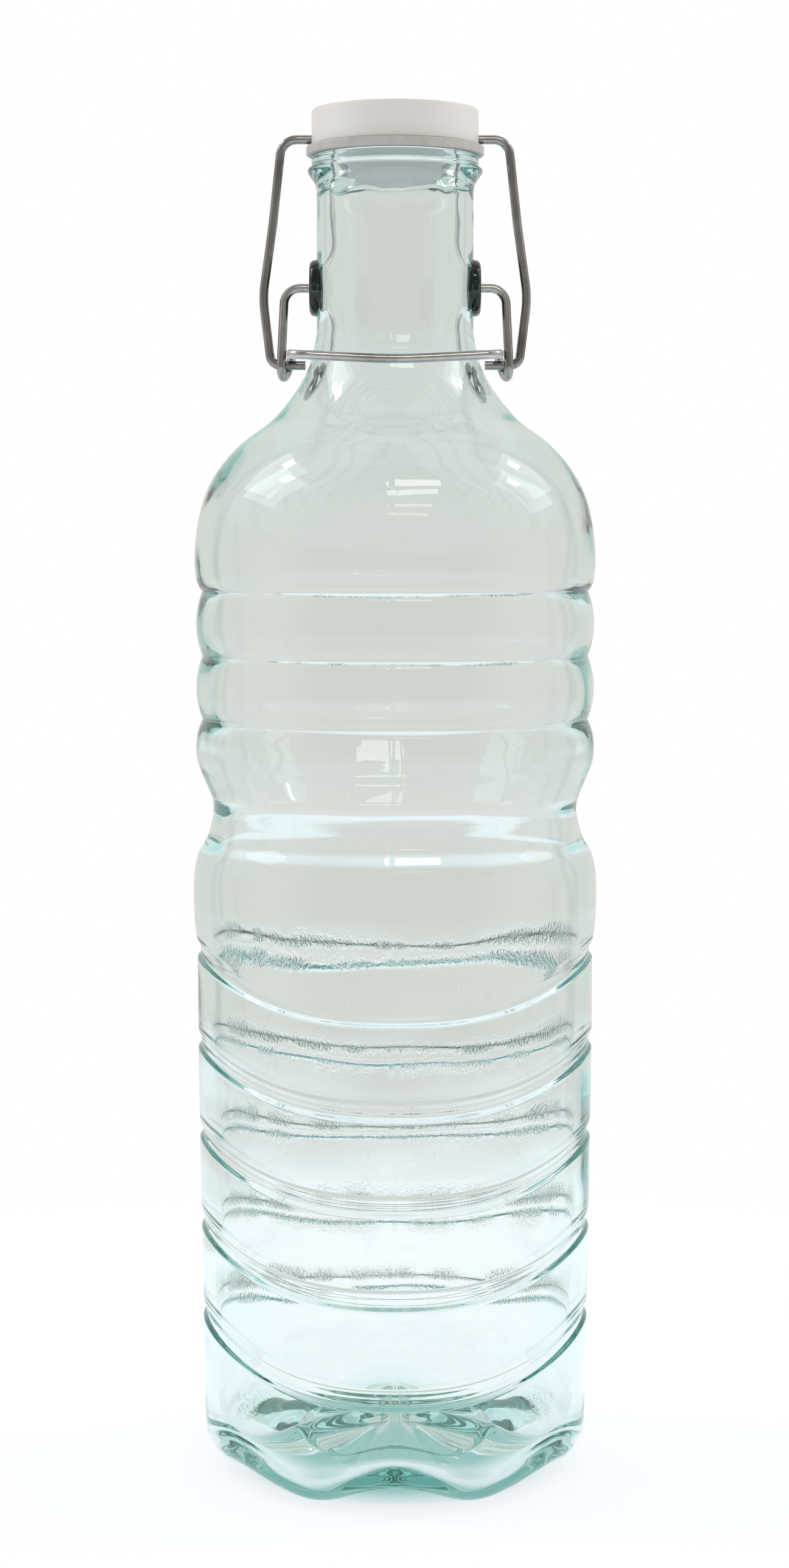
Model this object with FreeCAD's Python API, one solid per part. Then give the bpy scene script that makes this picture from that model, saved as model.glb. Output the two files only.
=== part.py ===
import FreeCAD, Part
import math
import os

os.makedirs("parts", exist_ok=True)

# Swing-top growler. Millimetres, +Z up, origin at the centre of the base on the plane of its feet.
# The crossbar of the lever faces -Y. Every height below is measured from the feet.

# ---- glass: heights and radii of the outside, from the rim down ----
RIM_TOP = 309.2
RIM_RADIUS = 19.5          # plain ring above the bead
RIM_EDGE = 0.8             # rounding of both edges of the rim
BEAD_Z = 305.6
BEAD_RADIUS = 20.4
BEAD_SHOULDER = [(20.2, 306.2), (19.5, 306.5)]  # rounding between the bead and the ring above it
BEAD_FOOT_Z = 301.7        # where the slope under the bead meets the neck
NECK_RADIUS = 18.3
NECK_FOOT_Z = 268.0
SHOULDER = [(20.0, 260.9), (25.9, 251.0), (36.0, 242.5), (42.8, 233.9), (46.0, 225.4)]
SHOULDER_RADIUS = 47.05
SHOULDER_Z = 215.4
SHOULDER_FALL = (46.8, 211.1)  # on the way down to the first ring groove
RING_GROOVES = [208.2, 193.0, 178.2]
RING_GROOVE_RADIUS = 45.35
PILLOW_RADIUS = 46.85      # crown between two ring grooves
PILLOW_DROP = 6.7          # from the last ring groove down to the crown over the waist
WAIST_Z = 157.2
WAIST_RADIUS = 42.8
WAIST_TOP = (45.2, 164.7)
WAIST_EDGE = (43.1, 159.2)
WAIST_UNDER = (45.4, 148.8)
HIP_Z = 137.0
HIP_RADIUS = 47.6
LOWER_TOP = (46.8, 126.5)
LOWER_FOOT = (45.4, 17.0)
HEEL = [(45.0, 10.7), (43.1, 5.9), (39.7, 1.3)]

# ---- glass: inside ----
BORE_RADIUS = 14.35
WALL = 3.4
INNER_SHOULDER = [(17.0, 257.5), (23.0, 248.6), (33.0, 239.8), (39.4, 231.7)]
INNER_BODY_TOP = (43.4, 211.4)
INNER_WAIST_TOP = (43.4, 173.2)
INNER_FOOT = (42.0, 18.0)
INNER_HEEL = (39.4, 9.6)
BASE_INSIDE = (32.0, 7.9)  # lowest line of the inside, over the feet
BASE_INSIDE_CENTRE_Z = 14.6

# ---- glass: swag grooves round the lower body, lowest at the front and the back ----
SWAG_SIDE_Z = 124.5        # height of the highest swag at the sides
SWAG_PITCH = 21.4
SWAG_DIP = 10.9            # at the front
SWAG_BACK_DIPS = [6.2, 12.2, 8.8, 8.6, 6.4]
SWAG_POWER = 2.7           # more than 2 makes the sides steeper than a plain cosine
SWAG_HALF_WIDTH = 2.4
SWAG_DEPTH_SIDE = 0.85
SWAG_DEPTH_FRONT = 1.1
SWAG_BEYOND = 1.0          # how far each cutter stands out of the wall
SWAG_POINTS = 48

# ---- glass: base with six feet ----
FEET = 6
PAD_INNER = 33.4
PAD_OUTER = 36.0
BASE_CENTRE_Z = 8.6        # push-up under the base
VALLEY_RADIUS = 23.5       # section of the round valley between two feet
VALLEY_POINT = (36.0, 4.0)  # radius and height of the valley's roof over the foot ring
VALLEY_SLOPE = 17.4        # degrees, rising outward
VALLEY_LENGTH = (20.0, 45.0)  # how far inside the foot ring each cutting bar starts, and its length

# ---- closure ----
WIRE = 1.05                # radius of both wires
RUNNING_CLEARANCE = 0.07   # wire in a hole, on the radius
HOLE = WIRE + RUNNING_CLEARANCE
BOSS_RADIUS = 6.55
BOSS_FACE = 20.0           # distance of each boss's flat face from the axis
BOSS_ROOT = 15.55          # inner end of each boss, inside the wall of the neck
BOSS_EDGE = 1.3
BOSS_HOLE_END = 17.3
PIVOT_Z = 278.7            # lever in the bosses
EYE_Z = 260.8              # bail in the eyes of the lever
HOLE_TOOL = 10.0           # length of the bar that cuts a hole in a boss
CAP_PIVOT_Z = 313.0        # bail in the cap

CAP_RADIUS = 19.45
CAP_BOTTOM = 311.35
CAP_TOP = 319.8
CAP_EDGE = 0.6
CAP_CHAMFER = 0.3          # lower edge of the cap
CAP_HOLE_TOOL = 60.0       # length of the bar that cuts the hole across the cap
SPIGOT_RADIUS = 11.5
SPIGOT_LIP = 12.3
SPIGOT_LIP_DROP = 0.6
SPIGOT_TIP = 11.3
SPIGOT_BOTTOM = 307.2
GASKET_RADIUS = 20.7
GASKET_EDGE = 0.4
GASKET_BOTTOM = RIM_TOP + 0.05

EYE_RADIUS = 2.75          # centre line of the eye
EYE_BEND = 2.6
LEVER_TIP = 17.5
LEVER_CORNER = (25.8, 3.8)  # distance from the axis and bend radius
LEVER_STRAND = 26.7        # outer turn of the eye
LEVER_EYE_FOOT = 25.68     # bottom of the eye, between its two turns
LEVER_ARM = 24.05          # inner turn of the eye and the arm to the crossbar
LEVER_ARM_END = 23.95
CROSSBAR_Y = -21.2
CROSSBAR_Z = 262.1
CROSSBAR_DIP = 1.2
CROSSBAR_CORNER = 4.0
CROSSBAR_BEND = 150.0

BAIL_TIP = 21.0
BAIL_SHOULDER = (26.4, 3.8)   # top corner beside the cap: distance and bend radius
BAIL_UPPER = (28.5, 293.7, 25.0)  # distance, height and bend radius
BAIL_WIDEST = (30.9, 276.5, 25.0)
BAIL_FOOT = (29.0, 2.5)


def vec(x, y, z):
    return FreeCAD.Vector(x, y, z)


def rz(radius, height):
    """Point of a half-section, in the plane y = 0."""
    return vec(radius, 0, height)


def line(a, b):
    return Part.LineSegment(rz(*a), rz(*b)).toShape()


def arc(a, b, c):
    return Part.Arc(rz(*a), rz(*b), rz(*c)).toShape()


def dome(rim, centre_z):
    """Part of a circle centred on the axis, from the rim point (r, z) to the axis at centre_z."""
    radius, rim_z = rim
    rise = centre_z - rim_z
    sphere = (radius ** 2 + rise ** 2) / (2 * rise)
    half_angle = math.asin(radius / sphere) / 2
    middle = (sphere * math.sin(half_angle), centre_z - sphere * (1 - math.cos(half_angle)))
    return arc(rim, middle, (0, centre_z))


def spline(points, start, end):
    """Smooth curve through the points, with (r, z) directions at its two ends."""
    curve = Part.BSplineCurve()
    curve.interpolate([rz(*p) for p in points], InitialTangent=rz(*start), FinalTangent=rz(*end))
    return curve.toShape()


def revolved(edges):
    face = Part.Face(Part.Wire(Part.__sortEdges__(edges)))
    return face.revolve(vec(0, 0, 0), vec(0, 0, 1), 360)


def outer_profile():
    """Outside of the glass from the rim to the foot pad, as edges of a half-section."""
    neck_foot = (NECK_RADIUS, NECK_FOOT_Z)
    crown = (SHOULDER_RADIUS, SHOULDER_Z)
    grooves = [(RING_GROOVE_RADIUS, z) for z in RING_GROOVES]
    waist = (WAIST_RADIUS, WAIST_Z)
    hip = (HIP_RADIUS, HIP_Z)
    rounding = RIM_EDGE * (1 - math.sqrt(0.5))
    edges = [
        arc((RIM_RADIUS - RIM_EDGE, RIM_TOP), (RIM_RADIUS - rounding, RIM_TOP - rounding),
            (RIM_RADIUS, RIM_TOP - RIM_EDGE)),
        line((RIM_RADIUS, RIM_TOP - RIM_EDGE), BEAD_SHOULDER[1]),
        arc(BEAD_SHOULDER[1], BEAD_SHOULDER[0], (BEAD_RADIUS, BEAD_Z)),
        line((BEAD_RADIUS, BEAD_Z), (NECK_RADIUS, BEAD_FOOT_Z)),
        line((NECK_RADIUS, BEAD_FOOT_Z), neck_foot),
        spline([neck_foot, *SHOULDER, crown], (0, -1), (0, -1)),
        arc(crown, SHOULDER_FALL, grooves[0]),
    ]
    for upper, lower in zip(grooves, grooves[1:]):
        edges.append(arc(upper, (PILLOW_RADIUS, (upper[1] + lower[1]) / 2), lower))
    edges += [
        arc(grooves[-1], (PILLOW_RADIUS, grooves[-1][1] - PILLOW_DROP), WAIST_TOP),
        line(WAIST_TOP, WAIST_EDGE),
        line(WAIST_EDGE, waist),
        spline([waist, WAIST_UNDER, hip], (0.2, -1), (0, -1)),
        line(hip, LOWER_TOP),
        line(LOWER_TOP, LOWER_FOOT),
        spline([LOWER_FOOT, *HEEL, (PAD_OUTER, 0)], (0, -1), (-1, 0)),
        line((PAD_OUTER, 0), (PAD_INNER, 0)),
        dome((PAD_INNER, 0), BASE_CENTRE_Z),
    ]
    return edges


def inner_profile():
    """Inside of the glass from the rim to the middle of the base."""
    bore_foot = (BORE_RADIUS, NECK_FOOT_Z)
    waist = (WAIST_RADIUS - WALL, WAIST_Z)
    hip = (HIP_RADIUS - WALL, HIP_Z)
    mouth = (BORE_RADIUS + RIM_EDGE, RIM_TOP)
    rounding = RIM_EDGE * (1 - math.sqrt(0.5))
    return [
        line((RIM_RADIUS - RIM_EDGE, RIM_TOP), mouth),
        arc(mouth, (BORE_RADIUS + rounding, RIM_TOP - rounding), (BORE_RADIUS, RIM_TOP - RIM_EDGE)),
        line((BORE_RADIUS, RIM_TOP - RIM_EDGE), bore_foot),
        spline([bore_foot, *INNER_SHOULDER, INNER_BODY_TOP], (0, -1), (0, -1)),
        line(INNER_BODY_TOP, INNER_WAIST_TOP),
        spline([INNER_WAIST_TOP, waist, hip], (0, -1), (0, -1)),
        line(hip, INNER_FOOT),
        spline([INNER_FOOT, INNER_HEEL, BASE_INSIDE], (0, -1), (-1, 0)),
        dome(BASE_INSIDE, BASE_INSIDE_CENTRE_Z),
        line((0, BASE_INSIDE_CENTRE_Z), (0, BASE_CENTRE_Z)),
    ]


def swag_cutter(side_z, back_dip):
    """Closed V-shaped ring that hangs lower at the front and the back than at the sides."""
    taper = (LOWER_TOP[0] - LOWER_FOOT[0]) / (LOWER_TOP[1] - LOWER_FOOT[1])
    apex, upper, lower = [], [], []
    for i in range(SWAG_POINTS):
        angle = 2 * math.pi * i / SWAG_POINTS
        hang = 1 - abs(math.sin(angle)) ** SWAG_POWER
        z = side_z - (SWAG_DIP if math.cos(angle) > 0 else back_dip) * hang
        surface = LOWER_FOOT[0] + taper * (z - LOWER_FOOT[1])
        depth = SWAG_DEPTH_SIDE + (SWAG_DEPTH_FRONT - SWAG_DEPTH_SIDE) * hang
        spread = SWAG_HALF_WIDTH * (depth + SWAG_BEYOND) / depth
        for points, radius, height in (
            (apex, surface - depth, z),
            (upper, surface + SWAG_BEYOND, z + spread),
            (lower, surface + SWAG_BEYOND, z - spread),
        ):
            points.append(vec(radius * math.sin(angle), -radius * math.cos(angle), height))
    loops = []
    for points in (apex, upper, lower):
        curve = Part.BSplineCurve()
        curve.interpolate(points, PeriodicFlag=True)
        loops.append(curve.toShape())
    apex_edge, upper_edge, lower_edge = loops
    faces = [
        Part.makeRuledSurface(apex_edge, upper_edge),
        Part.makeRuledSurface(upper_edge, lower_edge),
        Part.makeRuledSurface(lower_edge, apex_edge),
    ]
    shell = Part.makeShell(faces)
    shell.sewShape()
    solid = Part.makeSolid(Part.Shell(shell.Faces))
    if solid.Volume < 0:
        solid.reverse()
    return solid


def valley_cutter(angle):
    """Tilted round bar whose top is the roof of the valley between two feet."""
    radius, height = VALLEY_POINT
    inward, length = VALLEY_LENGTH
    slope = math.radians(VALLEY_SLOPE)
    along = vec(math.cos(slope), 0, math.sin(slope))
    across = vec(-math.sin(slope), 0, math.cos(slope))
    start = vec(radius, 0, height) - across * VALLEY_RADIUS - along * inward
    bar = Part.makeCylinder(VALLEY_RADIUS, length, start, along)
    bar.rotate(vec(0, 0, 0), vec(0, 0, 1), angle)
    return bar


def side_boss(side):
    """Round boss that stands out of the side of the neck, with its outer edge rounded."""
    root = vec(BOSS_ROOT, 0, PIVOT_Z)
    boss = Part.makeCylinder(BOSS_RADIUS, BOSS_FACE - BOSS_ROOT, root, vec(1, 0, 0))
    outer_edge = [e for e in boss.Edges if len(e.Vertexes) == 1 and e.CenterOfMass.x > NECK_RADIUS]
    boss = boss.makeFillet(BOSS_EDGE, outer_edge)
    if side < 0:
        boss.rotate(vec(0, 0, 0), vec(0, 0, 1), 180)
    return boss


def make_bottle():
    glass = revolved(outer_profile() + inner_profile())
    glass = glass.fuse([side_boss(1), side_boss(-1)])
    for side in (1, -1):
        hole = Part.makeCylinder(HOLE, HOLE_TOOL, vec(side * BOSS_HOLE_END, 0, PIVOT_Z), vec(side, 0, 0))
        glass = glass.cut(hole)
    for i, back_dip in enumerate(SWAG_BACK_DIPS):
        glass = glass.cut(swag_cutter(SWAG_SIDE_Z - i * SWAG_PITCH, back_dip))
    for i in range(FEET):
        glass = glass.cut(valley_cutter(360 * i / FEET - 90))
    return glass


def make_stopper():
    rounding = CAP_EDGE * (1 - math.sqrt(0.5))
    lip = (SPIGOT_LIP, GASKET_BOTTOM - SPIGOT_LIP_DROP)
    edges = [
        line((0, CAP_TOP), (CAP_RADIUS - CAP_EDGE, CAP_TOP)),
        arc((CAP_RADIUS - CAP_EDGE, CAP_TOP), (CAP_RADIUS - rounding, CAP_TOP - rounding),
            (CAP_RADIUS, CAP_TOP - CAP_EDGE)),
        line((CAP_RADIUS, CAP_TOP - CAP_EDGE), (CAP_RADIUS, CAP_BOTTOM + CAP_CHAMFER)),
        line((CAP_RADIUS, CAP_BOTTOM + CAP_CHAMFER), (CAP_RADIUS - CAP_CHAMFER, CAP_BOTTOM)),
        line((CAP_RADIUS - CAP_CHAMFER, CAP_BOTTOM), (SPIGOT_RADIUS, CAP_BOTTOM)),
        line((SPIGOT_RADIUS, CAP_BOTTOM), (SPIGOT_RADIUS, GASKET_BOTTOM)),
        line((SPIGOT_RADIUS, GASKET_BOTTOM), lip),
        line(lip, (SPIGOT_TIP, SPIGOT_BOTTOM)),
        line((SPIGOT_TIP, SPIGOT_BOTTOM), (0, SPIGOT_BOTTOM)),
        line((0, SPIGOT_BOTTOM), (0, CAP_TOP)),
    ]
    hole = Part.makeCylinder(HOLE, CAP_HOLE_TOOL, vec(-CAP_HOLE_TOOL / 2, 0, CAP_PIVOT_Z), vec(1, 0, 0))
    return revolved(edges).cut(hole)


def make_gasket():
    outer = Part.makeCylinder(GASKET_RADIUS, CAP_BOTTOM - GASKET_BOTTOM, vec(0, 0, GASKET_BOTTOM))
    outer = outer.makeFillet(GASKET_EDGE, [e for e in outer.Edges if len(e.Vertexes) == 1])
    inner = Part.makeCylinder(SPIGOT_RADIUS, CAP_BOTTOM, vec(0, 0, 0))
    return outer.cut(inner)


def bent_wire(points, bends):
    """Round wire along straight runs, with a tangent arc at each inner point."""
    edges = []
    start = points[0]
    for before, corner, after, bend in zip(points, points[1:], points[2:], bends):
        back = (before - corner).normalize()
        ahead = (after - corner).normalize()
        half_angle = back.getAngle(ahead) / 2
        reach = bend / math.tan(half_angle)
        middle = corner + (back + ahead).normalize() * (bend / math.sin(half_angle) - bend)
        edges.append(Part.LineSegment(start, corner + back * reach).toShape())
        edges.append(Part.Arc(corner + back * reach, middle, corner + ahead * reach).toShape())
        start = corner + ahead * reach
    edges.append(Part.LineSegment(start, points[-1]).toShape())
    path = Part.Wire(edges)
    section = Part.Wire(Part.Circle(points[0], points[1] - points[0], WIRE).toShape())
    wire = path.makePipeShell([section], True, False)
    print("wire: length %.1f mm, volume %.4f of section times length"
          % (path.Length, wire.Volume / (math.pi * WIRE ** 2 * path.Length)))
    return wire


def mirrored(half, middle=()):
    """Points of one side, then any on the centre plane, then the other side in reverse."""
    return [vec(*p) for p in half + list(middle)] + [vec(-x, y, z) for x, y, z in reversed(half)]


def make_lever():
    eye_low = EYE_Z - EYE_RADIUS
    eye_high = EYE_Z + EYE_RADIUS
    corner_x, corner_bend = LEVER_CORNER
    half = [
        (LEVER_TIP, 0, PIVOT_Z),
        (corner_x, 0, PIVOT_Z),
        (LEVER_STRAND, -EYE_RADIUS, eye_low),
        (LEVER_EYE_FOOT, EYE_RADIUS, eye_low),
        (LEVER_ARM, EYE_RADIUS, eye_high),
        (LEVER_ARM_END, CROSSBAR_Y, CROSSBAR_Z),
    ]
    bends = [corner_bend, EYE_BEND, EYE_BEND, EYE_BEND, CROSSBAR_CORNER]
    points = mirrored(half, [(0, CROSSBAR_Y, CROSSBAR_Z - CROSSBAR_DIP)])
    return bent_wire(points, bends + [CROSSBAR_BEND] + bends[::-1])


def make_bail():
    shoulder_x, shoulder_bend = BAIL_SHOULDER
    upper_x, upper_z, upper_bend = BAIL_UPPER
    widest_x, widest_z, widest_bend = BAIL_WIDEST
    foot_x, foot_bend = BAIL_FOOT
    half = [
        (BAIL_TIP, 0, EYE_Z),
        (foot_x, 0, EYE_Z),
        (widest_x, 0, widest_z),
        (upper_x, 0, upper_z),
        (shoulder_x, 0, CAP_PIVOT_Z),
    ]
    bends = [foot_bend, widest_bend, upper_bend, shoulder_bend]
    return bent_wire(mirrored(half), bends + bends[::-1])


NODES = {
    "bottle": make_bottle,
    "stopper": make_stopper,
    "gasket": make_gasket,
    "bail_wire": make_bail,
    "lever_wire": make_lever,
}

for node, make in NODES.items():
    shape = make()
    if shape.ShapeType == "Compound" and len(shape.Solids) == 1:
        shape = shape.Solids[0]
    print("%s: %s, valid %s, %d solid, %.2f cm3" % (
        node, shape.ShapeType, shape.isValid(), len(shape.Solids), shape.Volume / 1000))
    shape.exportStep("parts/%s.step" % node)
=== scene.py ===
"""Looks for a swing-top growler: pale green glass, white cap, grey gasket and two bent steel wires.

Lengths inside the shape functions are millimetres and become metres when a mesh is made.
Angles round the bottle start at the front (-Y) and grow towards +X.
"""

import math

import bmesh
import bpy
import numpy as np
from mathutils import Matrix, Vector


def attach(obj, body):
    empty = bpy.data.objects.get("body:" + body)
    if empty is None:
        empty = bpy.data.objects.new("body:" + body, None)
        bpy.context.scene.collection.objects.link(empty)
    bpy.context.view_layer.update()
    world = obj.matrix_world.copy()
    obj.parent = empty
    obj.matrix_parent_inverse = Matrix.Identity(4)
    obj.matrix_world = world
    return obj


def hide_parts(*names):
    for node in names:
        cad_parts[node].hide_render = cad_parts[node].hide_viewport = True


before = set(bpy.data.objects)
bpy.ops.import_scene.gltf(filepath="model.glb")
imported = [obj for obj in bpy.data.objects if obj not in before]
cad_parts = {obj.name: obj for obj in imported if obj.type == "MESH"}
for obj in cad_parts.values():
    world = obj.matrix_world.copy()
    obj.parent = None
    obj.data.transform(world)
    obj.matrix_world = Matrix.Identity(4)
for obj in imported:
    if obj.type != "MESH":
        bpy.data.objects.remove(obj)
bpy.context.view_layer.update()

MM = 0.001

ROOM = (0.765, 0.742, 0.705, 1)
DARK = (0.34, 0.33, 0.32, 1)
FRONT = (0.38, 0.36, 0.34, 1)
# Tone of the studio's walls, by the angle in degrees away from straight behind the bottle.
WALLS = [(0, ROOM), (50, ROOM), (53, DARK), (57, DARK), (60, ROOM), (105, ROOM),
         (135, FRONT), (180, FRONT)]
FLOOR_GLOW = (0.94, 0.99, 1.02, 1)
# Height of a direction, as the z of a unit vector, where the floor's glow starts and where it is full.
GLOW_STARTS = -0.13
GLOW_FULL = -0.23
FLOOR_RADIUS = 0.32
FLOOR_SIDES = 96
# Painted shadow: the floor's glow under the glass, darker and tinted green as if shaded by the glass.
PAINTED_SHADOW_UNDER_GLASS = (0.26, 0.56, 0.53, 1)
OPEN_FLOOR = (0.93, 0.96, 1.0, 1)
# Distances from the centre between which the floor changes from its painted shadow to the open floor.
PAINTED_SHADOW_REACH = (0.024, 0.037)
CAMERA_PLACE = (-0.00014, -0.752, 0.2147)
CAMERA_TILT = 3.96
CAMERA_LENS = 73.3
MIDDLE_HEIGHT = 0.2
LIGHT_BOUNCES = 32
COOL = (0.97, 0.99, 1.0)
SKY = (0.92, 0.98, 1.0)
WARM = (1.0, 0.97, 0.86)
# Name, direction from the bottle's middle, distance, size, radiance and colour.
LAMPS = [
    ("left_window", (-0.62, 0.12, 0.775), 0.9, (0.09, 0.08), 30.0, COOL),
    ("right_window", (0.66, 0.23, 0.72), 0.9, (0.09, 0.08), 30.0, COOL),
    ("left_sky", (-0.75, 0.1, 0.66), 1.1, (0.5, 0.5), 1.8, SKY),
    ("right_sky", (0.75, 0.2, 0.62), 1.1, (0.4, 0.5), 1.4, SKY),
    ("front_lamp", (0.14, -0.6, 0.78), 0.9, (0.42, 0.10), 6.0, WARM),
    ("front_strip", (0.12, -0.85, 0.52), 0.9, (0.38, 0.03), 3.5, WARM),
]

# ---------------------------------------------------------------- outline of the glass

RIM_TOP = 309.2
RIM_RADIUS = 19.5
BEAD_RADIUS = 20.4
BEAD_Z = 305.6
NECK_RADIUS = 18.3
NECK_TOP = 301.7
NECK_FOOT = 268.0
BORE_FOOT = 265.0
BORE_STEP = 301.0
BORE_RADIUS = 14.35
SHOULDER = [
    (18.3, 268.0), (18.7, 266.0), (20.0, 260.9), (22.9, 255.2), (28.7, 248.1), (36.0, 242.5),
    (41.1, 236.8), (44.3, 231.1), (46.0, 225.4), (46.9, 219.0), (47.05, 214.5), (46.7, 210.8),
]
RING_GROOVES = [208.2, 193.0, 178.2]
RING_RADIUS = 45.3
CROWN_RADIUS = 46.8
RIDGE = [
    (45.3, 178.2), (46.4, 175.4), (46.85, 171.6), (46.5, 168.2), (45.2, 164.7), (43.6, 161.0), (43.0, 159.3),
]
WAIST = [
    (43.0, 159.3), (42.75, 157.2), (43.3, 153.6), (44.45, 150.0), (46.35, 146.7), (47.3, 142.8), (47.6, 137.0),
]
LOWER_TOP = 137.0
LOWER_FOOT = 17.0
LOWER = [
    (47.6, 137.0), (47.35, 130.5), (46.8, 126.0), (46.65, 110.0), (46.2, 72.0), (45.8, 45.0), (45.4, 17.0),
]

SWAG_SIDE_Z = 124.5
SWAG_PITCH = 21.4
SWAG_COUNT = 5
SWAG_FRONT_DIP = [10.9, 10.9, 10.9, 10.9, 12.4]
SWAG_BACK_DIP = [6.2, 12.2, 8.8, 8.6, 6.4]
SWAG_POWER = 2.7
SWAG_HALF_WIDTH = 2.35
# Depth at the sides, and how much deeper the groove is at the front and the back.
SWAG_DEPTH = (0.8, 0.1)
SWAG_EDGES = (1.1, 0.6)
TOOL_LINE = 0.02
TOOL_PITCH = 1.4
# Reach of the closely spaced rows on each side of a swag's middle.
SWAG_ROWS = 3.3

FEET = 6
# Sections through a foot and through the valley between two feet, from the lower wall to the centre.
FOOT_SECTION = [
    (45.4, 17.0), (45.25, 13.0), (45.0, 9.6), (44.75, 8.2), (43.9, 6.4), (42.3, 3.9), (39.7, 1.3),
    (37.6, 0.3), (35.8, 0.0), (33.6, 0.0), (31.4, 0.5), (26.0, 3.2), (18.0, 6.0), (9.0, 8.0),
    (0.0, 8.6),
]
VALLEY_SECTION = [
    (45.4, 17.0), (45.25, 14.6), (45.15, 12.0), (44.95, 10.8), (44.45, 9.4), (43.6, 7.4), (42.4, 6.0),
    (40.5, 5.2), (38.0, 4.6), (35.4, 4.4), (32.5, 4.5), (26.5, 5.2), (18.0, 6.6), (9.0, 8.0),
    (0.0, 8.6),
]
INNER_FOOT_SECTION = [
    (42.0, 24.0), (41.9, 17.0), (41.6, 12.4), (40.6, 8.6), (38.6, 6.0), (35.6, 4.9), (32.0, 5.0),
    (27.0, 6.2), (19.0, 9.4), (9.0, 12.6), (0.0, 14.6),
]
INNER_VALLEY_SECTION = [
    (42.0, 24.0), (41.9, 18.4), (41.6, 14.8), (40.8, 12.0), (39.0, 10.5), (36.2, 10.2), (32.0, 10.8),
    (27.0, 12.0), (19.0, 13.6), (9.0, 14.5), (0.0, 14.6),
]
# Inside of the glass from the finish to the top of the base.
INSIDE = [
    (13.9, 306.0), (13.9, 302.4), (14.2, 301.2), (14.6, 300.3), (14.45, 297.0), (14.4, 290.0),
    (14.4, 270.0), (14.7, 265.0), (16.1, 260.0), (18.8, 254.5), (24.0, 247.6), (31.6, 241.0),
    (37.0, 235.6), (40.6, 230.4), (42.6, 224.5), (43.5, 218.0), (43.5, 212.5), (42.7, 208.2),
    (43.2, 203.5), (43.4, 200.5), (43.2, 197.5), (42.6, 193.0), (43.2, 188.3), (43.4, 185.5),
    (43.2, 182.8), (42.5, 178.0), (43.1, 173.5), (42.6, 168.0), (41.3, 163.0), (40.2, 158.6),
    (39.9, 155.4), (41.6, 149.0), (43.6, 143.0), (44.2, 137.0), (43.9, 130.0), (43.4, 124.0),
    (43.2, 100.0), (42.8, 70.0), (42.4, 45.0), (42.0, 24.0),
]
BAFFLE_RING = 23.0
# Height of the inside's broad waves in the bore, how much is added in the body, and the bore's fine waves.
BROAD_WAVE = 0.04
BODY_WAVE = 0.09
FINE_WAVE = 0.022
# How far the inside pulls in behind a swag, and half the height of that.
SWAG_ECHO = (0.15, 3.0)
# Step under the mouth: how far it wanders up and down, and its reach.
STEP_WANDER = (0.55, 2.5)
SEAM_RIDGE = 0.10
SEAM_HALF_WIDTH = 0.75
OUTER_RIPPLE = 0.03
COLUMNS = 176

# Offset from a swag's middle, width and strength of the crinkles along its two edges.
CRINKLE_EDGES = ((2.0, 1.3, 1.0), (-1.9, 0.9, 0.8))
RING_CRINKLE = 0.6
RING_CRINKLE_WIDTH = 0.8
# Inner corner of the base: strength, the radii it lies between, and its top.
CORNER_CRINKLE = 0.25
CORNER_RADII = (36.5, 42.2)
CORNER_TOP = 14.5

# Heights, and the radius between the two surfaces of the wall at each.
WALL_MIDDLE = ([0, 8, 12, 24, 137, 157, 178, 212], [0, 42, 42.6, 43.7, 45.9, 41.3, 44.4, 45.3])

BOSS_RADIUS = 6.55
BOSS_FACE = 20.0
BOSS_HOLE = 1.12
BOSS_EDGE = 1.3
BOSS_HOLE_END = 17.3
BOSS_EASE = 0.25
# Half the size of the window cut in the neck's wall for a boss, and the radius that tells outside from bore.
BOSS_WINDOW = 8.6
NECK_OUTSIDE = 17.5
# Distance from the middle beyond which the glass at a boss is painted dark, as painted shade.
BOSS_GLASS = 16.5
# Depth and reach of the bore's bulge behind a boss.
BOSS_DENT = 1.3
DENT_REACH = (6.0, 6.6)
# Extra thickness of the base's rear valleys, and the radius it is at.
REAR_THICKENING = 3.0
REAR_RING = 39.0
REAR_REACH = 4.5
PIVOT_Z = 278.7
CAP_BOTTOM = 311.3


def through(points, step):
    """Points about step apart on a smooth curve through the given (r, z) points."""
    pts = np.array(points, float)
    ends = np.vstack([2 * pts[0] - pts[1], pts, 2 * pts[-1] - pts[-2]])
    out = [pts[0]]
    for a, b, c, d in zip(ends, ends[1:], ends[2:], ends[3:]):
        knots = np.cumsum([0] + [np.linalg.norm(q - p) ** 0.5 for p, q in ((a, b), (b, c), (c, d))])
        count = max(1, int(math.ceil(np.linalg.norm(c - b) / step)))
        for t in np.linspace(knots[1], knots[2], count + 1)[1:]:
            k = knots
            ab = ((k[1] - t) * a + (t - k[0]) * b) / (k[1] - k[0])
            bc = ((k[2] - t) * b + (t - k[1]) * c) / (k[2] - k[1])
            cd = ((k[3] - t) * c + (t - k[2]) * d) / (k[3] - k[2])
            abc = ((k[2] - t) * ab + (t - k[0]) * bc) / (k[2] - k[0])
            bcd = ((k[3] - t) * bc + (t - k[1]) * cd) / (k[3] - k[1])
            out.append(((k[2] - t) * abc + (t - k[1]) * bcd) / (k[2] - k[1]))
    return out


def rounded(corner, radius, start, end, count=5):
    """Quarter-turn arc of the given centre and radius, between two angles in degrees."""
    angles = np.radians(np.linspace(start, end, count))
    return [np.array([corner[0] + radius * math.cos(a), corner[1] + radius * math.sin(a)]) for a in angles]


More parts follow.
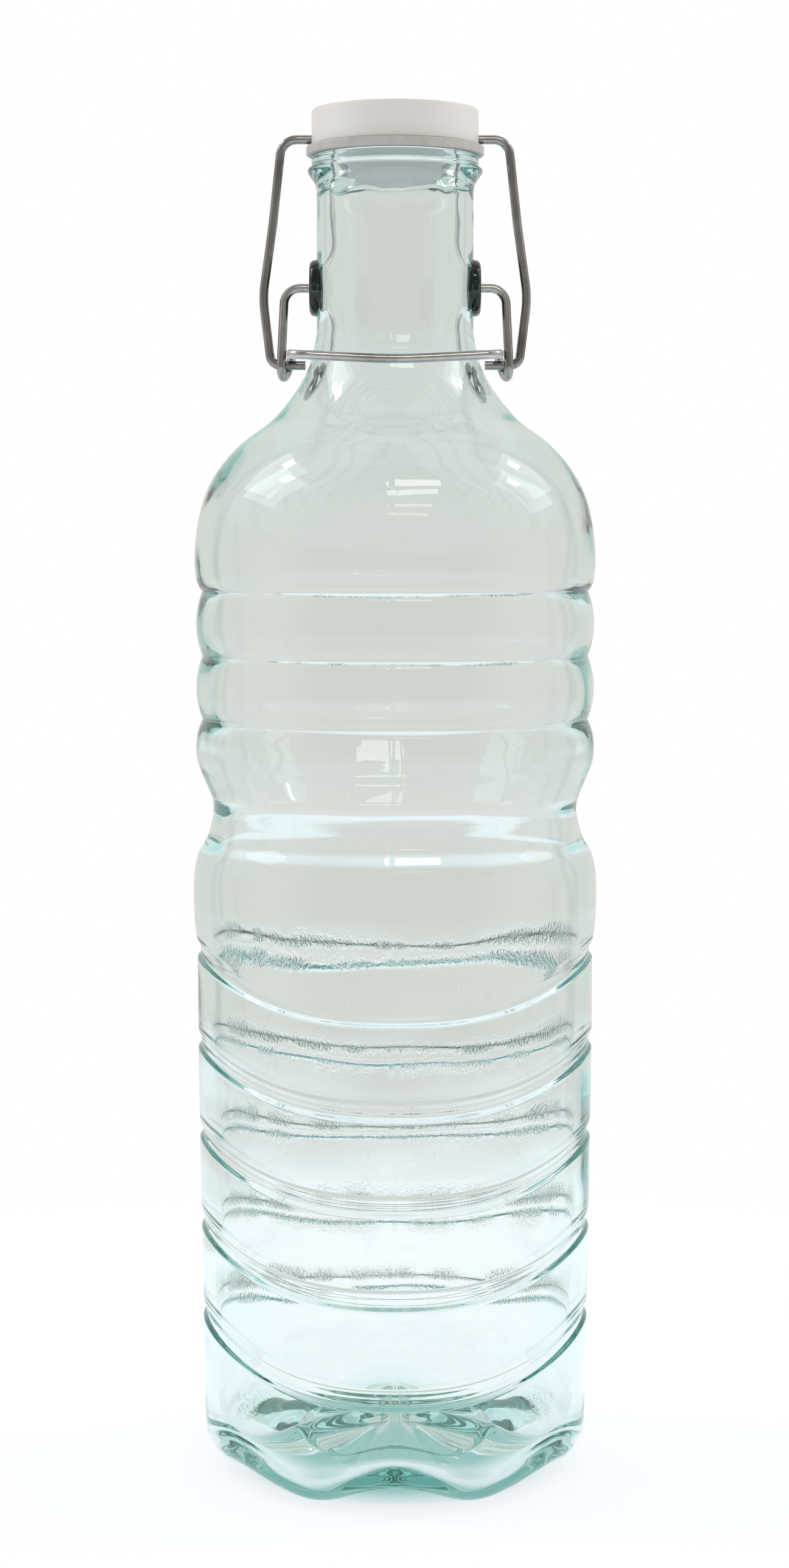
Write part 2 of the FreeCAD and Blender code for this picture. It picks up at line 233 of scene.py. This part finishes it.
def finish_outline():
    """Rim, ring and bead of the mouth, from the top land down to the top of the neck."""
    rows = [np.array([RIM_RADIUS - 2.0, RIM_TOP])]
    rows += rounded((RIM_RADIUS - 0.8, RIM_TOP - 0.8), 0.8, 90, 0)
    rows += [np.array([RIM_RADIUS, BEAD_Z + 1.9]), np.array([RIM_RADIUS - 0.05, BEAD_Z + 1.35])]
    rows += rounded((BEAD_RADIUS - 0.75, BEAD_Z + 0.1), 0.75, 80, -25)
    under = [(20.15, BEAD_Z - 0.6), (19.3, BEAD_Z - 1.9), (18.6, BEAD_Z - 3.0), (18.34, NECK_TOP - 0.6)]
    rows += through(under, 0.7)
    return rows


def pillow(upper, lower, count=12):
    """Bulge between two ring grooves, with closer rows by the grooves."""
    rows = []
    for u in (1 - np.cos(np.linspace(0, math.pi, count + 1))) / 2:
        bulge = 1 - (2 * u - 1) ** 2
        radius = RING_RADIUS + (CROWN_RADIUS - RING_RADIUS) * bulge
        rows.append(np.array([radius, upper + (lower - upper) * u]))
    return rows


def upper_outline():
    """Outside from the mouth to the widest line under the waist, the same all round."""
    rows = finish_outline()
    rows += [np.array([NECK_RADIUS, z]) for z in np.arange(NECK_TOP - 1.6, NECK_FOOT + 0.5, -1.1)]
    rows += through(SHOULDER, 2.0)
    rows += through([(46.7, 210.8), (46.2, 209.4), (45.7, 208.55), (RING_RADIUS, RING_GROOVES[0])], 0.7)[1:]
    for upper, lower in zip(RING_GROOVES, RING_GROOVES[1:]):
        rows += pillow(upper, lower)[1:]
    rows += through(RIDGE, 1.3)[1:]
    rows += through(WAIST, 1.5)[1:]
    return rows


# ---------------------------------------------------------------- waves and grooves round the bottle

def hang(angle):
    """How far a swag hangs at this angle: 0 at the sides, 1 at the front and the back."""
    return 1 - np.abs(np.sin(angle)) ** SWAG_POWER


def ease(x):
    """Smooth step from 0 at x = 0 to 1 at x = 1."""
    x = np.clip(x, 0, 1)
    return x * x * (3 - 2 * x)


def dip(s, angle):
    """How far row s hangs under its height at the sides: fully between the swags, not at all at the ends."""
    middles = SWAG_SIDE_Z - SWAG_PITCH * np.arange(SWAG_COUNT)
    back = np.interp(-s, -middles, SWAG_BACK_DIP)
    front = np.interp(-s, -middles, SWAG_FRONT_DIP)
    most = np.where(np.cos(angle) > 0, front, back)
    above = ease((LOWER_TOP - 1.0 - s) / 10.0)
    below = np.clip((s - LOWER_FOOT) / (middles[-1] - 3.5 - LOWER_FOOT), 0, 1)
    return most * hang(angle) * above * below


def swag_depth(s, angle):
    """Depth of the swag grooves at row s.

    Each has a steep upper edge, a flat floor with fine tool lines and a softer lower edge; the highest
    one spreads upward at the front.
    """
    depth = np.zeros_like(angle)
    sag = hang(angle)
    front = np.clip(np.cos(angle) * 3, 0, 1)
    for i in range(SWAG_COUNT):
        offset = s - (SWAG_SIDE_Z - i * SWAG_PITCH)
        lower = ease((SWAG_HALF_WIDTH + offset) / SWAG_EDGES[0])
        upper = ease((SWAG_HALF_WIDTH - offset) / SWAG_EDGES[1])
        if i == 0 and offset < 12:
            broad = ease(1 - offset / (SWAG_HALF_WIDTH + 6.5 * sag)) if offset > 0 else 1.0
            upper = upper + (broad - upper) * front
        floor = ease((SWAG_HALF_WIDTH - 0.5 - abs(offset)) / 0.6)
        tool = TOOL_LINE * math.cos(2 * math.pi * offset / TOOL_PITCH) * floor
        depth = depth + (SWAG_DEPTH[0] + SWAG_DEPTH[1] * sag) * lower * upper + tool
    return depth


def lower_rows():
    """Row heights down the lower body, closer together at the edges of each swag."""
    above = [0.35, 0.7, 1.05, 1.4, 1.72, 1.86, 1.98, 2.1, 2.22, 2.36, 2.7, 3.3]
    below = [0, 0.35, 0.7, 1.05, 1.22, 1.4, 1.6, 1.8, 2.0, 2.2, 2.4, 2.8, 3.3]
    heights = {LOWER_TOP - 1.5, LOWER_TOP - 3.5, LOWER_TOP - 5.5, LOWER_TOP - 7.5}
    for i in range(SWAG_COUNT):
        middle = SWAG_SIDE_Z - i * SWAG_PITCH
        heights |= {middle + d for d in above} | {middle - d for d in below}
        heights |= set(np.linspace(middle - SWAG_ROWS, middle - SWAG_PITCH + SWAG_ROWS, 6)[1:-1])
    return sorted((h for h in heights if h > LOWER_FOOT + 1), reverse=True)


class Waves:
    """Smooth random field on the bottle's surface, the same on every run."""

    def __init__(self, seed, count, shortest, longest):
        rng = np.random.default_rng(seed)
        length = np.exp(rng.uniform(math.log(shortest), math.log(longest), count))
        way = rng.normal(size=(count, 3))
        way /= np.linalg.norm(way, axis=1)[:, None]
        self.k = way * (2 * math.pi / length)[:, None]
        self.phase = rng.uniform(0, 2 * math.pi, count)
        self.scale = math.sqrt(2 / count)

    def at(self, radius, angle, z):
        spot = np.stack([radius * np.sin(angle), -radius * np.cos(angle), z + 0 * angle], -1)
        return np.cos(spot @ self.k.T + self.phase).sum(-1) * self.scale


LONG_WAVES = Waves(3, 60, 22, 70)
SHORT_WAVES = Waves(11, 90, 7, 16)
FINE_WAVES = Waves(17, 60, 4.5, 10)
OUTER_WAVES = Waves(23, 60, 25, 80)


def seam(angle):
    """Fine raised line that the two halves of the mould leave at the front and the back."""
    off = np.abs((angle + math.pi / 2) % math.pi - math.pi / 2)
    return np.clip(1 - off / math.radians(SEAM_HALF_WIDTH), 0, 1)


def columns():
    """Angles round the bottle, with closer ones at the two mould seams."""
    even = np.linspace(0, 2 * math.pi, COLUMNS, endpoint=False)
    extra = [math.radians(a) for a in (0.35, SEAM_HALF_WIDTH)]
    fine = [c + d for c in (0, math.pi) for d in extra + [-e for e in extra]]
    return np.unique(np.concatenate([even, np.array(fine) % (2 * math.pi)]).round(9))


ANGLES = columns()


def petal(angle):
    """0 over a foot and 1 over a valley; a valley faces the front."""
    return 0.5 + 0.5 * np.cos(FEET * angle)


def outer_rings():
    """Rings of (r, z) arrays over ANGLES, from the rim to near the base's centre."""
    rings = []
    for r, z in upper_outline():
        wave = OUTER_WAVES.at(r, ANGLES, z) * OUTER_RIPPLE * (z < NECK_FOOT)
        ridge = SEAM_RIDGE * seam(ANGLES) * (z < BEAD_Z - 4)
        rings.append((r + wave + ridge, np.full_like(ANGLES, z)))
    line = np.array(through(LOWER, 1.0))
    for s in lower_rows():
        z = s - dip(s, ANGLES)
        r = np.interp(-z, -line[:, 1], line[:, 0])
        wave = OUTER_WAVES.at(r, ANGLES, z) * OUTER_RIPPLE
        rings.append((r + wave + SEAM_RIDGE * seam(ANGLES) - swag_depth(s, ANGLES), z))
    foot, valley = (np.array(same_count(p)) for p in (FOOT_SECTION, VALLEY_SECTION))
    share = petal(ANGLES)
    for f, v in zip(foot[:-1], valley[:-1]):
        rings.append((f[0] + (v[0] - f[0]) * share, f[1] + (v[1] - f[1]) * share))
    low = np.argmin([abs(np.mean(r) - BAFFLE_RING) for r, z in rings[-12:]]) + len(rings) - 12
    r, z = rings[low]
    line = [(r + off, z + lift) for off, lift in ((0.45, 0.0), (0.12, 0.22), (-0.12, 0.22), (-0.45, 0.0))]
    return rings[:low] + line + rings[low + 1:]


def same_count(points, each=3):
    """Smooth curve through the points with the same number of steps in every span."""
    pts = np.array(points, float)
    ends = np.vstack([2 * pts[0] - pts[1], pts, 2 * pts[-1] - pts[-2]])
    out = [pts[0]]
    for a, b, c, d in zip(ends, ends[1:], ends[2:], ends[3:]):
        for t in np.linspace(0, 1, each + 1)[1:]:
            out.append(0.5 * (2 * b + (c - a) * t + (2 * a - 5 * b + 4 * c - d) * t ** 2
                              + (3 * b - a - 3 * c + d) * t ** 3))
    return out


def inner_rings():
    """Rings of the inside from the rim to near the base's centre.

    The wall's inside is smooth with broad waves, bulges outward behind each boss, pulls in a little
    behind the swags, and has a wandering step under the mouth. The base's inside follows the feet.
    """
    rings = []
    for r, z in rounded((14.7, RIM_TOP - 0.8), 0.8, 90, 180):
        rings.append((np.full_like(ANGLES, r), np.full_like(ANGLES, z)))
    bore = through([p for p in INSIDE if p[1] >= BORE_FOOT], 1.2)
    body = through([p for p in INSIDE if p[1] <= BORE_FOOT], 2.7)
    for r, z in bore + body[1:]:
        away = np.minimum(np.abs(ANGLES - math.pi / 2), np.abs(ANGLES - 1.5 * math.pi)) * BORE_RADIUS
        off_boss = (away / DENT_REACH[0]) ** 2 + ((z - PIVOT_Z) / DENT_REACH[1]) ** 4
        dent = BOSS_DENT * np.exp(-off_boss)
        soft = BROAD_WAVE + BODY_WAVE * ease((NECK_FOOT - z) / 30.0)
        fine = FINE_WAVE * ease((z - NECK_FOOT) / 6.0)
        wave = soft * LONG_WAVES.at(r, ANGLES, z) + fine * FINE_WAVES.at(r, ANGLES, z)
        follow = np.zeros_like(ANGLES)
        sag = hang(ANGLES)
        for i in range(SWAG_COUNT):
            middle = SWAG_SIDE_Z - i * SWAG_PITCH - SWAG_FRONT_DIP[i] * sag
            follow = follow + SWAG_ECHO[0] * np.exp(-((z - middle) / SWAG_ECHO[1]) ** 2)
        wander = STEP_WANDER[0] * FINE_WAVES.at(r, ANGLES, 300.0)
        wander = wander * math.exp(-((z - BORE_STEP) / STEP_WANDER[1]) ** 2)
        rings.append((r + wave + dent - follow, z + wander))
    foot, valley = (np.array(same_count(p, 2)) for p in (INNER_FOOT_SECTION, INNER_VALLEY_SECTION))
    share = petal(ANGLES)
    rear = np.clip(-np.cos(ANGLES), 0, 1)
    for f, v in zip(foot[1:-1], valley[1:-1]):
        r = f[0] + (v[0] - f[0]) * share
        z = f[1] + (v[1] - f[1]) * share
        z = z + REAR_THICKENING * share * rear * np.exp(-((r - REAR_RING) / REAR_REACH) ** 2)
        rings.append((r, z))
    return rings


# ---------------------------------------------------------------- meshes

def new_piece(name, verts, faces, smooth=True):
    """Object in the scene from points in metres and faces."""
    mesh = bpy.data.meshes.new(name)
    mesh.from_pydata([tuple(v) for v in verts], [], faces)
    mesh.validate()
    for polygon in mesh.polygons:
        polygon.use_smooth = smooth
    piece = bpy.data.objects.new(name, mesh)
    bpy.context.scene.collection.objects.link(piece)
    return piece


def band(first, second, wrap):
    """Quads between two rows of vertex numbers."""
    count = len(first)
    last = count if wrap else count - 1
    return [(first[i], first[(i + 1) % count], second[(i + 1) % count], second[i]) for i in range(last)]


def add_boss(verts, faces, rows, side):
    """Swaps a window of the neck's wall for the round boss and the blind hole in it."""
    middle = math.pi / 2 if side > 0 else 1.5 * math.pi
    spread = math.asin(BOSS_WINDOW / NECK_RADIUS)
    cols = [i for i, a in enumerate(ANGLES) if abs(a - middle) <= spread]
    lines = [k for k, row in enumerate(rows) if abs(verts[row[0]][2] / MM - PIVOT_Z) <= BOSS_WINDOW
             and math.hypot(*verts[row[0]][:2]) > NECK_OUTSIDE * MM]
    inside = {tuple(sorted((rows[k][i], rows[k][i + 1], rows[k + 1][i + 1], rows[k + 1][i])))
              for k in lines[:-1] for i in cols[:-1]}
    faces[:] = [f for f in faces if tuple(sorted(f)) not in inside]
    edge = [rows[lines[0]][i] for i in cols]
    edge += [rows[k][cols[-1]] for k in lines[1:]]
    edge += [rows[lines[-1]][i] for i in reversed(cols[:-1])]
    edge += [rows[k][cols[0]] for k in reversed(lines[1:-1])]
    turn = [math.atan2(verts[v][2] / MM - PIVOT_Z, verts[v][1] / MM) for v in edge]
    ring = edge
    steps = [(0.45, None), (0.12, None), (0, None)]
    for bevel in (90, 60, 30, 0):
        a = math.radians(bevel)
        steps.append((-BOSS_EDGE * (1 - math.sin(a)), BOSS_FACE - BOSS_EDGE * (1 - math.cos(a))))
    steps += [(2.2 - BOSS_RADIUS, BOSS_FACE), (BOSS_HOLE + BOSS_EASE - BOSS_RADIUS, BOSS_FACE),
              (BOSS_HOLE - BOSS_RADIUS, BOSS_FACE - BOSS_EASE), (BOSS_HOLE - BOSS_RADIUS, BOSS_HOLE_END + 0.02)]
    for k, (grow, depth) in enumerate(steps):
        radius = BOSS_RADIUS + grow
        row = []
        for v, a in zip(edge, turn):
            y, z = radius * math.cos(a), radius * math.sin(a)
            if depth is None:
                x = math.sqrt(NECK_RADIUS ** 2 - y * y)
                if k == 2:
                    x += 0.12
            else:
                x = depth
            row.append(len(verts))
            verts.append((side * x * MM, y * MM, (PIVOT_Z + z) * MM))
        faces.extend(band(ring, row, True))
        ring = row
    centre = len(verts)
    verts.append((side * BOSS_HOLE_END * MM, 0, PIVOT_Z * MM))
    faces.extend((ring[i], ring[(i + 1) % len(ring)], centre) for i in range(len(ring)))


def make_glass():
    """The whole bottle as one closed mesh: inside and outside joined over the rim."""
    verts, rows, faces = [], [], []

    def add_ring(r, z):
        start = len(verts)
        verts.extend(zip(r * np.sin(ANGLES) * MM, -r * np.cos(ANGLES) * MM, z * MM))
        rows.append(list(range(start, len(verts))))

    outer = outer_rings()
    inner = inner_rings()
    for r, z in reversed(inner):
        add_ring(np.asarray(r, float), np.asarray(z, float))
    for r, z in outer:
        add_ring(np.asarray(r, float), np.asarray(z, float))
    for upper, lower in zip(rows, rows[1:]):
        faces.extend(band(upper, lower, True))
    for row, height in ((rows[0], INNER_FOOT_SECTION[-1][1]), (rows[-1], FOOT_SECTION[-1][1])):
        centre = len(verts)
        verts.append((0.0, 0.0, height * MM))
        faces.extend((row[i], row[(i + 1) % len(row)], centre) for i in range(len(row)))
    for side in (1, -1):
        add_boss(verts, faces, rows, side)
    glass = new_piece("glass_bottle", verts, faces)
    bm = bmesh.new()
    bm.from_mesh(glass.data)
    bmesh.ops.delete(bm, geom=[v for v in bm.verts if not v.link_faces], context="VERTS")
    bmesh.ops.recalc_face_normals(bm, faces=bm.faces)
    bm.to_mesh(glass.data)
    bm.free()
    mask_crinkles(glass.data)
    return glass


def mask_crinkles(mesh):
    """Adds two vertex attributes.

    "crinkle" is where the glass is finely wrinkled: along the grooves at the back, and faintly on the
    inner corner of the base. "boss" is the glass of the two bosses, which is painted dark as painted shade.
    """
    count = len(mesh.vertices)
    co = np.zeros(count * 3)
    mesh.vertices.foreach_get("co", co)
    x, y, z = co.reshape(-1, 3).T / MM
    r = np.hypot(x, y)
    angle = np.arctan2(x, -y)
    middle_of_wall = np.interp(z, *WALL_MIDDLE)
    outside = r > middle_of_wall
    back = np.clip(0.1 - 2 * np.cos(angle), 0, 1)
    patches = np.clip(0.7 + 0.4 * SHORT_WAVES.at(r, angle, z), 0.1, 1)
    weight = np.zeros(count)
    for i in range(SWAG_COUNT):
        middle = SWAG_SIDE_Z - i * SWAG_PITCH
        middle = middle - dip(middle, angle)
        for edge, width, strength in CRINKLE_EDGES:
            weight += strength * np.exp(-((z - middle - edge) / width) ** 2)
    for groove in RING_GROOVES:
        weight += RING_CRINKLE * np.exp(-((z - groove) / RING_CRINKLE_WIDTH) ** 2)
    weight = weight * back * patches * outside * (z > 20) * (z < 212)
    corner = (z < CORNER_TOP) & ~outside & (r > CORNER_RADII[0]) & (r < CORNER_RADII[1])
    weight = np.clip(weight + CORNER_CRINKLE * corner * back * patches, 0.0, 1)
    attribute = mesh.attributes.new("crinkle", "FLOAT", "POINT")
    attribute.data.foreach_set("value", weight.astype(np.float32))
    # Mask of the bosses' glass, where the glass material paints a dark painted shade.
    off_pivot = np.hypot(y, z - PIVOT_Z)
    boss = np.clip((BOSS_RADIUS + 0.35 - off_pivot) / 0.3, 0, 1) * (np.abs(x) > BOSS_GLASS)
    attribute = mesh.attributes.new("boss", "FLOAT", "POINT")
    attribute.data.foreach_set("value", boss.astype(np.float32))


# ---------------------------------------------------------------- materials

class Shader:
    """Small helper round one material's node tree."""

    def __init__(self, name):
        self.material = bpy.data.materials.new(name)
        self.material.use_nodes = True
        self.nodes = self.material.node_tree.nodes
        self.links = self.material.node_tree.links
        self.bsdf = self.nodes["Principled BSDF"]

    def node(self, kind, inputs=None, **settings):
        node = self.nodes.new(kind)
        for key, value in settings.items():
            setattr(node, key, value)
        for key, value in (inputs or {}).items():
            if isinstance(value, bpy.types.NodeSocket):
                self.links.new(value, node.inputs[key])
            else:
                node.inputs[key].default_value = value
        return node

    def set(self, **inputs):
        for key, value in inputs.items():
            socket = self.bsdf.inputs[key.replace("_", " ")]
            if isinstance(value, bpy.types.NodeSocket):
                self.links.new(value, socket)
            else:
                socket.default_value = value


GLASS_TINT = (0.20, 0.71, 0.67, 1)
GLASS_DENSITY = 25.0
# Painted shade: near-black green base colour of the bosses' glass.
BOSS_PAINTED_SHADE = (0.0006, 0.003, 0.0025, 1)


def glass_material():
    """Clear glass that takes its green from absorption; the two bosses are painted dark green as painted shade.
    """
    s = Shader("recycled_glass")
    # Painted shade: the bosses' glass is mixed to a near-black green base colour.
    boss = s.node("ShaderNodeAttribute", attribute_name="boss").outputs["Fac"]
    colour = s.node("ShaderNodeMix", {"Factor": boss}, data_type="RGBA")
    colour.inputs["A"].default_value = (1, 1, 1, 1)
    colour.inputs["B"].default_value = BOSS_PAINTED_SHADE
    s.set(Base_Color=colour.outputs["Result"], Roughness=0.0, IOR=1.5, Transmission_Weight=1.0)
    place = s.node("ShaderNodeTexCoord").outputs["Object"]
    crinkle = s.node("ShaderNodeTexNoise", {"Vector": place, "Scale": 1400.0, "Detail": 2.0, "Roughness": 0.6})
    ripple = s.node("ShaderNodeTexNoise", {"Vector": place, "Scale": 60.0, "Detail": 1.0})
    mask = s.node("ShaderNodeAttribute", attribute_name="crinkle").outputs["Fac"]
    centred = s.node("ShaderNodeMath", {0: crinkle.outputs["Fac"], 1: 0.5}, operation="SUBTRACT")
    height = s.node("ShaderNodeMath", {0: centred.outputs[0], 1: mask}, operation="MULTIPLY")
    fine = s.node("ShaderNodeBump", {"Height": height.outputs[0], "Strength": 1.0, "Distance": 0.0018})
    soft = s.node("ShaderNodeBump", {"Height": ripple.outputs["Fac"], "Strength": 1.0, "Distance": 0.00016,
                                     "Normal": fine.outputs[0]})
    s.set(Normal=soft.outputs[0])
    tint = s.node("ShaderNodeVolumeAbsorption", {"Color": GLASS_TINT, "Density": GLASS_DENSITY})
    s.links.new(tint.outputs[0], s.nodes["Material Output"].inputs["Volume"])
    return s.material


def cap_material():
    """White moulded plastic, with painted light on the spigot under the disc: it is painted a purer white
    there.
    """
    s = Shader("white_cap_plastic")
    place = s.node("ShaderNodeTexCoord").outputs["Object"]
    tone = s.node("ShaderNodeTexNoise", {"Vector": place, "Scale": 90.0, "Detail": 4.0})
    colour = s.node("ShaderNodeMix", {"Factor": tone.outputs["Fac"]}, data_type="RGBA")
    colour.inputs["A"].default_value = (0.84, 0.81, 0.79, 1)
    colour.inputs["B"].default_value = (0.89, 0.87, 0.85, 1)
    # Painted light: below the disc the spigot, which the glass shades, is painted a brighter white.
    height = s.node("ShaderNodeSeparateXYZ", {0: place}).outputs["Z"]
    under = s.node("ShaderNodeMapRange", {"Value": height, "From Min": CAP_BOTTOM * MM,
                                          "From Max": (CAP_BOTTOM - 0.4) * MM})
    finish = s.node("ShaderNodeMix", {"Factor": under.outputs["Result"]}, data_type="RGBA")
    s.links.new(colour.outputs["Result"], finish.inputs["A"])
    finish.inputs["B"].default_value = (0.97, 0.97, 0.96, 1)
    grain = s.node("ShaderNodeTexNoise", {"Vector": place, "Scale": 1800.0, "Detail": 2.0})
    bump = s.node("ShaderNodeBump", {"Height": grain.outputs["Fac"], "Strength": 0.5, "Distance": 0.00002})
    s.set(Base_Color=finish.outputs["Result"], Roughness=0.38, IOR=1.5, Normal=bump.outputs[0],
          Subsurface_Weight=0.15, Subsurface_Scale=0.002)
    return s.material


def gasket_material():
    """Mottled grey translucent rubber."""
    s = Shader("grey_silicone")
    place = s.node("ShaderNodeTexCoord").outputs["Object"]
    tone = s.node("ShaderNodeTexNoise", {"Vector": place, "Scale": 260.0, "Detail": 5.0, "Roughness": 0.65})
    colour = s.node("ShaderNodeMix", {"Factor": tone.outputs["Fac"]}, data_type="RGBA")
    colour.inputs["A"].default_value = (0.43, 0.40, 0.385, 1)
    colour.inputs["B"].default_value = (0.70, 0.68, 0.66, 1)
    bump = s.node("ShaderNodeBump", {"Height": tone.outputs["Fac"], "Strength": 0.6, "Distance": 0.00006})
    s.set(Base_Color=colour.outputs["Result"], Roughness=0.5, IOR=1.41, Normal=bump.outputs[0],
          Subsurface_Weight=0.3, Subsurface_Scale=0.0015)
    return s.material


# Stretch of the drawn lines, and the clean and stained tones of each wire.
UPRIGHT = (1, 1, 0.03)
ACROSS = (0.1, 1, 1)
BAIL_TONES = ((0.40, 0.39, 0.385, 1), (0.20, 0.19, 0.185, 1))
LEVER_TONES = ((0.58, 0.57, 0.565, 1), (0.30, 0.285, 0.28, 1))


def wire_material(name, along, clean, stained):
    """Drawn steel: fine lines along the wire and patchy brown-grey stains."""
    s = Shader(name)
    place = s.node("ShaderNodeTexCoord").outputs["Object"]
    stretch = s.node("ShaderNodeMapping", {"Vector": place, "Scale": along})
    lines = s.node("ShaderNodeTexNoise", {"Vector": stretch.outputs[0], "Scale": 900.0, "Detail": 3.0})
    stain = s.node("ShaderNodeTexNoise", {"Vector": place, "Scale": 70.0, "Detail": 5.0, "Roughness": 0.6})
    mask = s.node("ShaderNodeMapRange", {"Value": stain.outputs["Fac"], "From Min": 0.35, "From Max": 0.7})
    colour = s.node("ShaderNodeMix", {"Factor": mask.outputs["Result"]}, data_type="RGBA")
    colour.inputs["A"].default_value = clean
    colour.inputs["B"].default_value = stained
    rough = s.node("ShaderNodeMapRange", {"Value": lines.outputs["Fac"], "To Min": 0.12, "To Max": 0.30})
    bump = s.node("ShaderNodeBump", {"Height": lines.outputs["Fac"], "Strength": 0.35, "Distance": 0.00003})
    s.set(Base_Color=colour.outputs["Result"], Metallic=1.0,
          Roughness=rough.outputs["Result"], Normal=bump.outputs[0])
    return s.material


def dress(node, material):
    """Gives a carried-over CAD node its finished material."""
    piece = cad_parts[node]
    piece.data.materials.clear()
    piece.data.materials.append(material)
    for polygon in piece.data.polygons:
        polygon.material_index = 0


# ---------------------------------------------------------------- studio

def area_light(name, direction, distance, size, radiance, colour):
    """Soft rectangular lamp seen from the bottle's middle in the given direction."""
    data = bpy.data.lights.new(name, "AREA")
    data.shape = "RECTANGLE"
    data.size, data.size_y = size
    data.energy = radiance * size[0] * size[1] * math.pi
    data.color = colour
    lamp = bpy.data.objects.new(name, data)
    bpy.context.scene.collection.objects.link(lamp)
    way = Vector(direction).normalized()
    lamp.location = Vector((0, 0, MIDDLE_HEIGHT)) + way * distance
    lamp.rotation_euler = way.to_track_quat("Z", "Y").to_euler()
    lamp.visible_camera = False


def make_world():
    """White backdrop for the camera, and a grey room for everything else.

    The room is darker in front, has one narrow dark band on each side, and brightens below the horizon.
    """
    world = bpy.data.worlds.new("studio")
    bpy.context.scene.world = world
    world.use_nodes = True
    nodes, links = world.node_tree.nodes, world.node_tree.links
    nodes.clear()
    out = nodes.new("ShaderNodeOutputWorld")
    place = nodes.new("ShaderNodeTexCoord")
    split = nodes.new("ShaderNodeSeparateXYZ")
    links.new(place.outputs["Generated"], split.inputs[0])
    aside = nodes.new("ShaderNodeMath")
    aside.operation = "ABSOLUTE"
    links.new(split.outputs["X"], aside.inputs[0])
    turn = nodes.new("ShaderNodeMath")
    turn.operation = "ARCTAN2"
    links.new(aside.outputs[0], turn.inputs[0])
    links.new(split.outputs["Y"], turn.inputs[1])
    share = nodes.new("ShaderNodeMath")
    share.operation = "DIVIDE"
    share.inputs[1].default_value = math.pi
    links.new(turn.outputs[0], share.inputs[0])
    walls = nodes.new("ShaderNodeValToRGB")
    ramp = walls.color_ramp.elements
    ramp[0].color = WALLS[0][1]
    ramp[1].color = WALLS[-1][1]
    for degrees, colour in WALLS[1:-1]:
        ramp.new(degrees / 180).color = colour
    links.new(share.outputs[0], walls.inputs[0])
    height = nodes.new("ShaderNodeMapRange")
    height.interpolation_type = "SMOOTHSTEP"
    height.inputs["From Min"].default_value = GLOW_STARTS
    height.inputs["From Max"].default_value = GLOW_FULL
    links.new(split.outputs["Z"], height.inputs["Value"])
    tone = nodes.new("ShaderNodeMix")
    tone.data_type = "RGBA"
    tone.inputs["B"].default_value = FLOOR_GLOW
    links.new(walls.outputs[0], tone.inputs["A"])
    links.new(height.outputs["Result"], tone.inputs["Factor"])
    room = nodes.new("ShaderNodeBackground")
    links.new(tone.outputs["Result"], room.inputs["Color"])
    backdrop = nodes.new("ShaderNodeBackground")
    backdrop.inputs["Color"].default_value = (1, 1, 1, 1)
    mix = nodes.new("ShaderNodeMixShader")
    path = nodes.new("ShaderNodeLightPath")
    links.new(path.outputs["Is Camera Ray"], mix.inputs[0])
    links.new(room.outputs[0], mix.inputs[1])
    links.new(backdrop.outputs[0], mix.inputs[2])
    links.new(mix.outputs[0], out.inputs["Surface"])


def make_floor():
    """Round pale floor that glows a little, with a painted shadow straight under the glass: its glow is darker
    and greener there.
    """
    turns = np.linspace(0, 2 * math.pi, FLOOR_SIDES, False)
    verts = [(FLOOR_RADIUS * math.cos(a), FLOOR_RADIUS * math.sin(a), 0) for a in turns]
    floor = new_piece("floor", verts, [tuple(range(FLOOR_SIDES))], smooth=False)
    s = Shader("pale_floor")
    place = s.node("ShaderNodeTexCoord").outputs["Object"]
    away = s.node("ShaderNodeVectorMath", {0: place}, operation="LENGTH").outputs["Value"]
    # Painted shadow: the glow fades from a darker green under the glass to the open floor's tone.
    open_air = s.node("ShaderNodeMapRange", {"Value": away, "From Min": PAINTED_SHADOW_REACH[0], "From Max": PAINTED_SHADOW_REACH[1]})
    colour = s.node("ShaderNodeMix", {"Factor": open_air.outputs["Result"]}, data_type="RGBA")
    colour.inputs["A"].default_value = PAINTED_SHADOW_UNDER_GLASS
    colour.inputs["B"].default_value = OPEN_FLOOR
    s.set(Base_Color=(0.30, 0.31, 0.32, 1), Roughness=0.9, Specular_IOR_Level=0.0,
          Emission_Color=colour.outputs["Result"], Emission_Strength=0.82)
    floor.data.materials.append(s.material)


def make_camera():
    """Camera at the height of the upper body, looking slightly down."""
    data = bpy.data.cameras.new("camera")
    data.lens = CAMERA_LENS
    data.sensor_width = 36.0
    camera = bpy.data.objects.new("camera", data)
    bpy.context.scene.collection.objects.link(camera)
    camera.location = CAMERA_PLACE
    camera.rotation_euler = (math.radians(90 - CAMERA_TILT), 0, 0)
    bpy.context.scene.camera = camera


make_camera()
make_world()
make_floor()
for lamp in LAMPS:
    area_light(*lamp)

glass = make_glass()
glass.data.materials.append(glass_material())
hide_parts("bottle")
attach(glass, "bottle")

dress("stopper", cap_material())
dress("gasket", gasket_material())
dress("bail_wire", wire_material("bail_steel", UPRIGHT, *BAIL_TONES))
dress("lever_wire", wire_material("lever_steel", ACROSS, *LEVER_TONES))

bpy.context.scene.view_settings.view_transform = "Standard"
# Clear glass needs many bounces, or its totally reflecting parts turn black.
bpy.context.scene.cycles.max_bounces = LIGHT_BOUNCES
bpy.context.scene.cycles.transmission_bounces = LIGHT_BOUNCES
bpy.context.scene.cycles.glossy_bounces = LIGHT_BOUNCES
